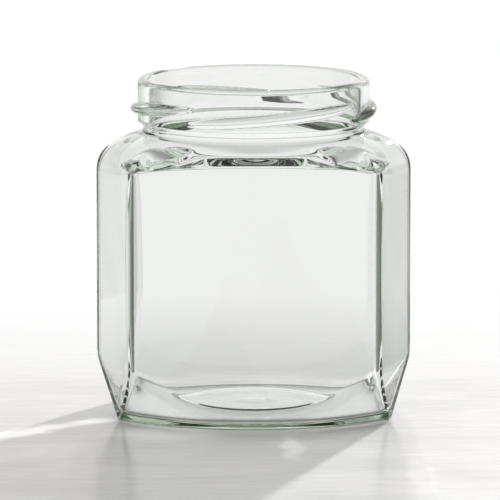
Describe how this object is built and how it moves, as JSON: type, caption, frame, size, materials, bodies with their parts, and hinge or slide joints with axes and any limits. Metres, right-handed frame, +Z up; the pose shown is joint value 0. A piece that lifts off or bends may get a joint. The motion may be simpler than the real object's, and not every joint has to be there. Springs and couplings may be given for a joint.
{
  "type": "oval hexagonal glass jar",
  "caption": "Clear glass food jar, six-sided with bowed front and back panels, cut-off base corners, and a short round neck with thread lugs for a twist-off lid. Empty, without its lid.",
  "frame": {"origin": "on the standing surface, under the middle of the jar", "axes": "+X across the wide way, from ridge to ridge; +Y from the front panel to the back panel; +Z up, out of the mouth"},
  "size_m": [0.0716, 0.0572, 0.0767],
  "materials": {
    "clear_glass": "clear, polished, faintly green where thick"
  },
  "bodies": {
    "root": {"jar": "clear_glass"}
  },
  "joints": []
}
